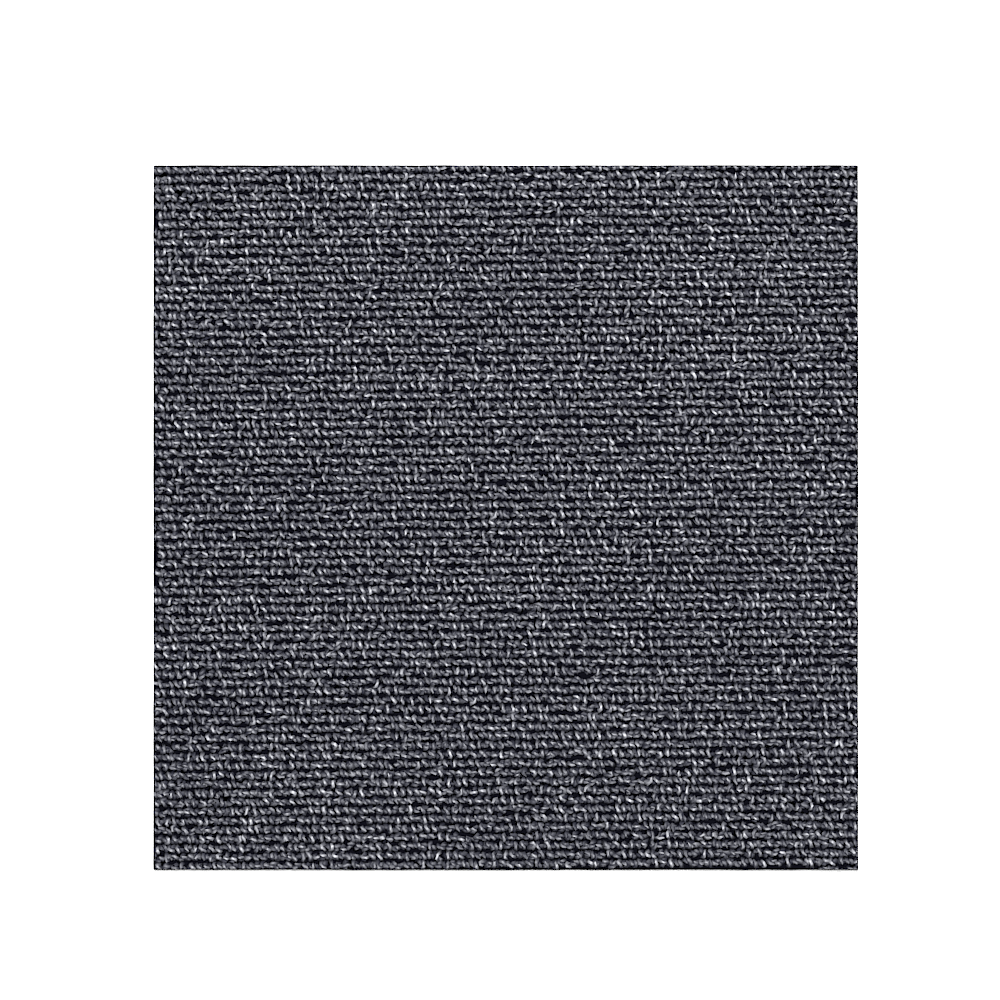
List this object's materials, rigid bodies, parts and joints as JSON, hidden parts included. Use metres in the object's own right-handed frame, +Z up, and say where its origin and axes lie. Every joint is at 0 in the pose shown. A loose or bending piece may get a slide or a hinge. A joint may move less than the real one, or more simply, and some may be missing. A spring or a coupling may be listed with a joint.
{
  "type": "carpet tile",
  "caption": "Square loop-pile carpet tile: straight rows of dark grey yarn loops through a woven cloth, bonded to a heavy flat backing sheet.",
  "frame": {"origin": "centre of the underside, on the floor", "axes": "+Z up through the pile, +X along the rows of loops, +Y across the rows"},
  "size_m": [0.3048, 0.3048, 0.0064],
  "materials": {
    "backing_compound": "matt, faintly dimpled by the belt it was cast on",
    "primary_weave": "plain weave of flat dark tapes",
    "loop_yarn": "bulked yarn of dark and pale cool grey filaments twisted together"
  },
  "bodies": {
    "root": {"backing_sheet": "backing_compound", "primary_cloth": "primary_weave", "loop_pile": "loop_yarn"}
  },
  "joints": []
}
